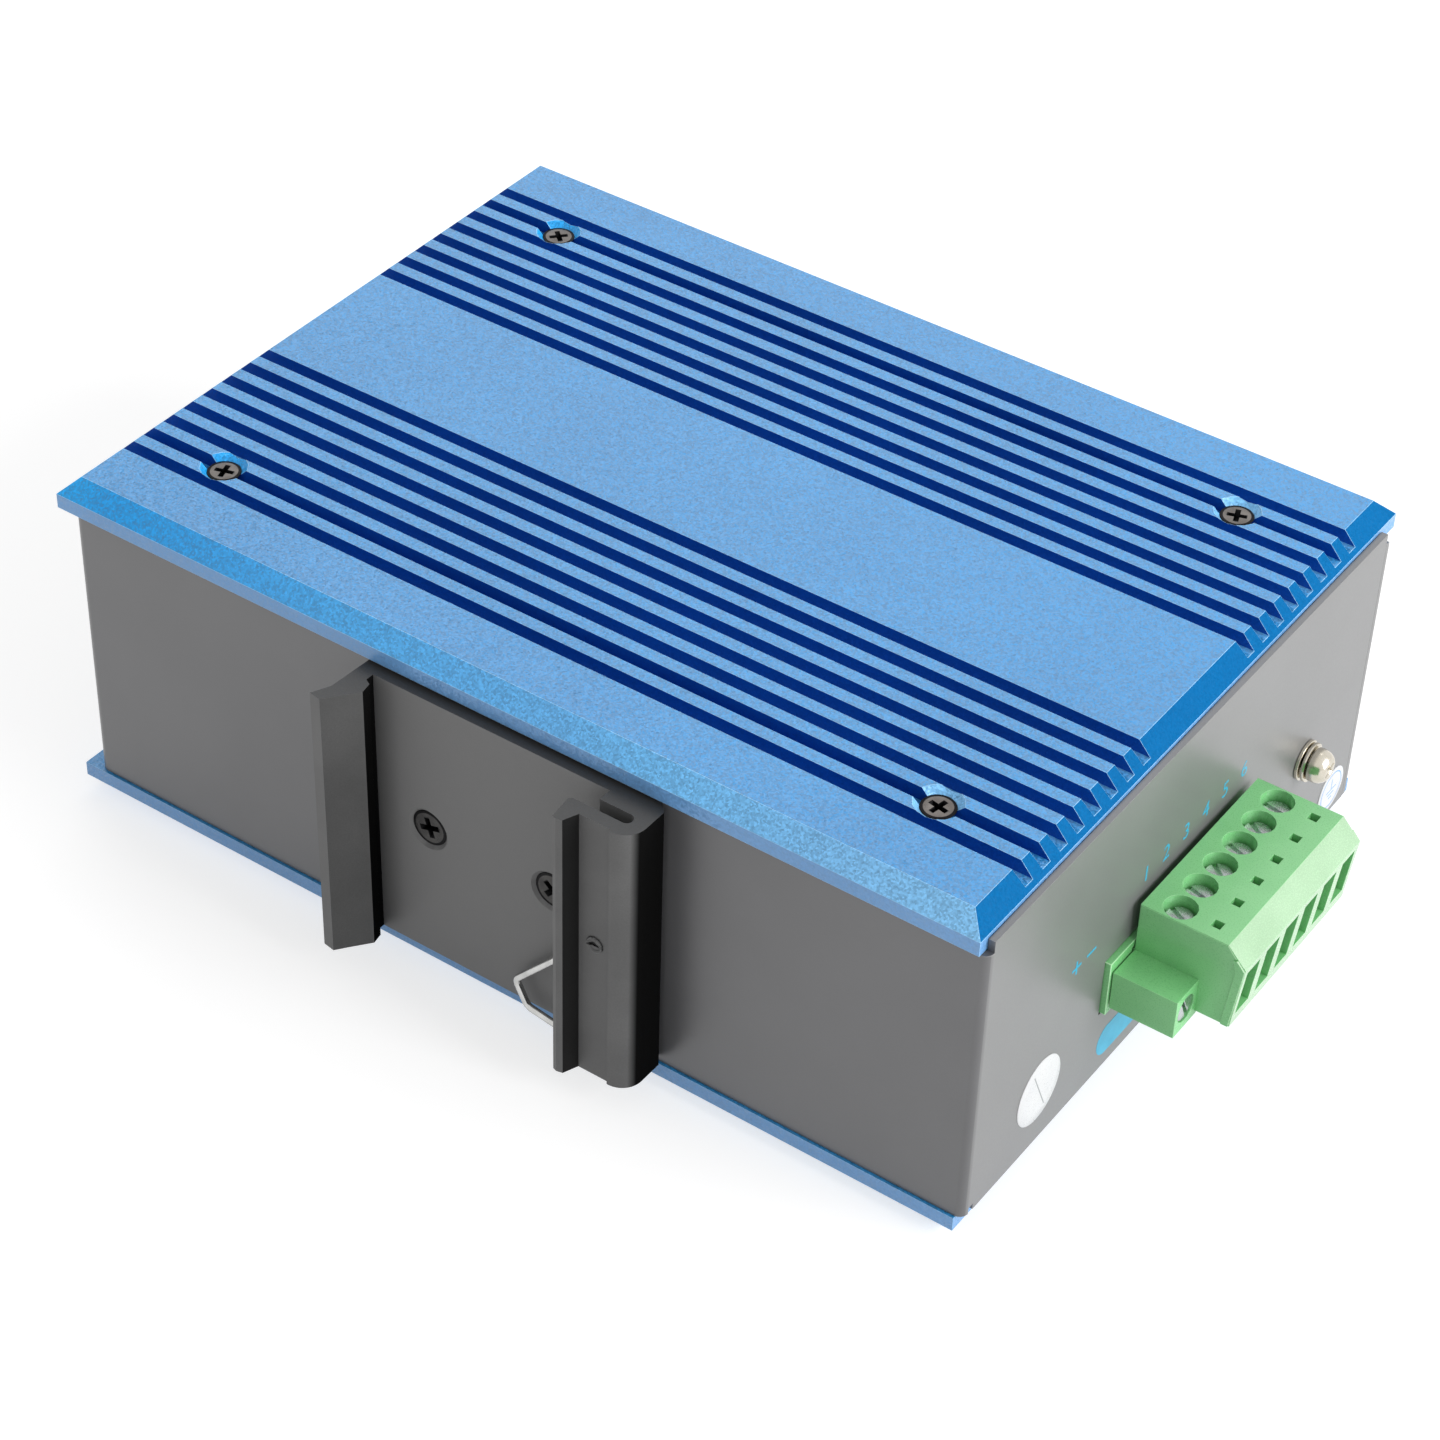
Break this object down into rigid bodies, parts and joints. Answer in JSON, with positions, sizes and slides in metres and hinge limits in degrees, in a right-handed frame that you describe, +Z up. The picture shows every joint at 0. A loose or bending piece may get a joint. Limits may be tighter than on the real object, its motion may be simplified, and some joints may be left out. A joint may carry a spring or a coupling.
{
  "type": "rail-mounted network switch",
  "caption": "Rail-mounted network switch: grooved covers over a folded steel case, rail clip with wire spring, stacked sockets and a plug-in power terminal with rising clamps.",
  "frame": {"origin": "centre of the lower cover's resting face", "axes": "+X towards the power terminal, along the grooves; +Y towards the socket panel, away from the rail clip; +Z up from the lower cover to the upper cover"},
  "size_m": [0.1625, 0.1147, 0.054],
  "materials": {
    "blue_anodised": "fine bead-blasted blue anodised aluminium",
    "black_powder_coat": "satin black powder coat on steel sheet",
    "black_moulding": "fine-grained black plastic",
    "green_moulding": "light green terminal plastic",
    "nickel_screw": "nickel-plated steel",
    "zinc_screw": "bright zinc-plated steel",
    "spring_steel": "drawn spring steel wire",
    "tinned_brass": "tinned brass",
    "gold_contact": "gold-plated contact wire",
    "tinned_shield": "tinned folded sheet",
    "black_insert": "glossy black plastic",
    "board_laminate": "green solder mask",
    "clear_pipe": "clear moulded light pipe",
    "lamp_resin": "tinted lamp resin",
    "chip_resin": "black chip resin",
    "thermal_gum": "soft grey heat pad",
    "bare_aluminium": "sawn aluminium",
    "sleeved_can": "dark sleeved capacitor can",
    "ferrite": "dull ferrite",
    "label_white": "smooth white label film"
  },
  "bodies": {
    "root": {"upper_cover": "blue_anodised", "lower_cover": "blue_anodised", "chassis": "black_powder_coat", "socket_panel": "black_powder_coat", "upper_cover_screws": "nickel_screw", "lower_cover_screws": "nickel_screw", "upper_clinch_nuts": "zinc_screw", "lower_clinch_nuts": "zinc_screw", "rail_clip": "black_moulding", "rail_clip_screws": "spring_steel", "rail_clip_nuts": "zinc_screw", "circuit_board": "board_laminate", "board_standoffs": "zinc_screw", "board_screws": "zinc_screw", "jack_shield": "tinned_shield", "jack_insert": "black_insert", "jack_contacts": "gold_contact", "status_lamps": "lamp_resin", "light_pipes": "clear_pipe", "power_header": "green_moulding", "header_pins": "tinned_brass", "header_inserts": "tinned_brass", "terminal_plug": "green_moulding", "contact_strips": "tinned_brass", "flange_screws": "nickel_screw", "earth_flat_washer": "zinc_screw", "earth_spring_washer": "zinc_screw", "earth_screw": "zinc_screw", "earth_clinch_nut": "zinc_screw", "check_label": "label_white", "earth_label": "label_white", "switch_chip": "chip_resin", "thermal_pad": "thermal_gum", "heat_spreader": "bare_aluminium", "line_transformers": "chip_resin", "smoothing_capacitors": "sleeved_can", "power_chokes": "ferrite", "power_transformer": "ferrite", "board_fuse": "chip_resin", "clock_crystal": "tinned_shield"},
    "spring": {"rail_spring": "spring_steel"},
    "screw_1": {"clamp_screw_1": "nickel_screw"},
    "screw_2": {"clamp_screw_2": "nickel_screw"},
    "screw_3": {"clamp_screw_3": "nickel_screw"},
    "screw_4": {"clamp_screw_4": "nickel_screw"},
    "screw_5": {"clamp_screw_5": "nickel_screw"},
    "screw_6": {"clamp_screw_6": "nickel_screw"},
    "cage_1": {"clamp_cage_1": "tinned_brass"},
    "cage_2": {"clamp_cage_2": "tinned_brass"},
    "cage_3": {"clamp_cage_3": "tinned_brass"},
    "cage_4": {"clamp_cage_4": "tinned_brass"},
    "cage_5": {"clamp_cage_5": "tinned_brass"},
    "cage_6": {"clamp_cage_6": "tinned_brass"}
  },
  "joints": [
    {"name": "spring_push", "type": "slide", "parent": "root", "child": "spring", "axis": [1, 0, 0], "range_m": [0, 0.0022], "stiffness_N_per_m": 1500},
    {"name": "lift_cage_1", "type": "slide", "parent": "root", "child": "cage_1", "axis": [0, 0, 1], "range_m": [0, 0.002]},
    {"name": "turn_clamp_1", "type": "hinge", "parent": "root", "child": "screw_1", "pos_m": [0.0789, -0.0126, 0.029], "axis": [0, 0, 1], "range_deg": [-1440, 0]},
    {"name": "lift_cage_2", "type": "slide", "parent": "root", "child": "cage_2", "axis": [0, 0, 1], "range_m": [0, 0.002]},
    {"name": "turn_clamp_2", "type": "hinge", "parent": "root", "child": "screw_2", "pos_m": [0.0789, -0.00752, 0.029], "axis": [0, 0, 1], "range_deg": [-1440, 0]},
    {"name": "lift_cage_3", "type": "slide", "parent": "root", "child": "cage_3", "axis": [0, 0, 1], "range_m": [0, 0.002]},
    {"name": "turn_clamp_3", "type": "hinge", "parent": "root", "child": "screw_3", "pos_m": [0.0789, -0.00244, 0.029], "axis": [0, 0, 1], "range_deg": [-1440, 0]},
    {"name": "lift_cage_4", "type": "slide", "parent": "root", "child": "cage_4", "axis": [0, 0, 1], "range_m": [0, 0.002]},
    {"name": "turn_clamp_4", "type": "hinge", "parent": "root", "child": "screw_4", "pos_m": [0.0789, 0.00264, 0.029], "axis": [0, 0, 1], "range_deg": [-1440, 0]},
    {"name": "lift_cage_5", "type": "slide", "parent": "root", "child": "cage_5", "axis": [0, 0, 1], "range_m": [0, 0.002]},
    {"name": "turn_clamp_5", "type": "hinge", "parent": "root", "child": "screw_5", "pos_m": [0.0789, 0.00772, 0.029], "axis": [0, 0, 1], "range_deg": [-1440, 0]},
    {"name": "lift_cage_6", "type": "slide", "parent": "root", "child": "cage_6", "axis": [0, 0, 1], "range_m": [0, 0.002]},
    {"name": "turn_clamp_6", "type": "hinge", "parent": "root", "child": "screw_6", "pos_m": [0.0789, 0.0128, 0.029], "axis": [0, 0, 1], "range_deg": [-1440, 0]}
  ],
  "couplings": [
    {"joint": "turn_clamp_1", "follows": "lift_cage_1", "rad_per_m": -12560},
    {"joint": "turn_clamp_2", "follows": "lift_cage_2", "rad_per_m": -12560},
    {"joint": "turn_clamp_3", "follows": "lift_cage_3", "rad_per_m": -12560},
    {"joint": "turn_clamp_4", "follows": "lift_cage_4", "rad_per_m": -12560},
    {"joint": "turn_clamp_5", "follows": "lift_cage_5", "rad_per_m": -12560},
    {"joint": "turn_clamp_6", "follows": "lift_cage_6", "rad_per_m": -12560}
  ]
}
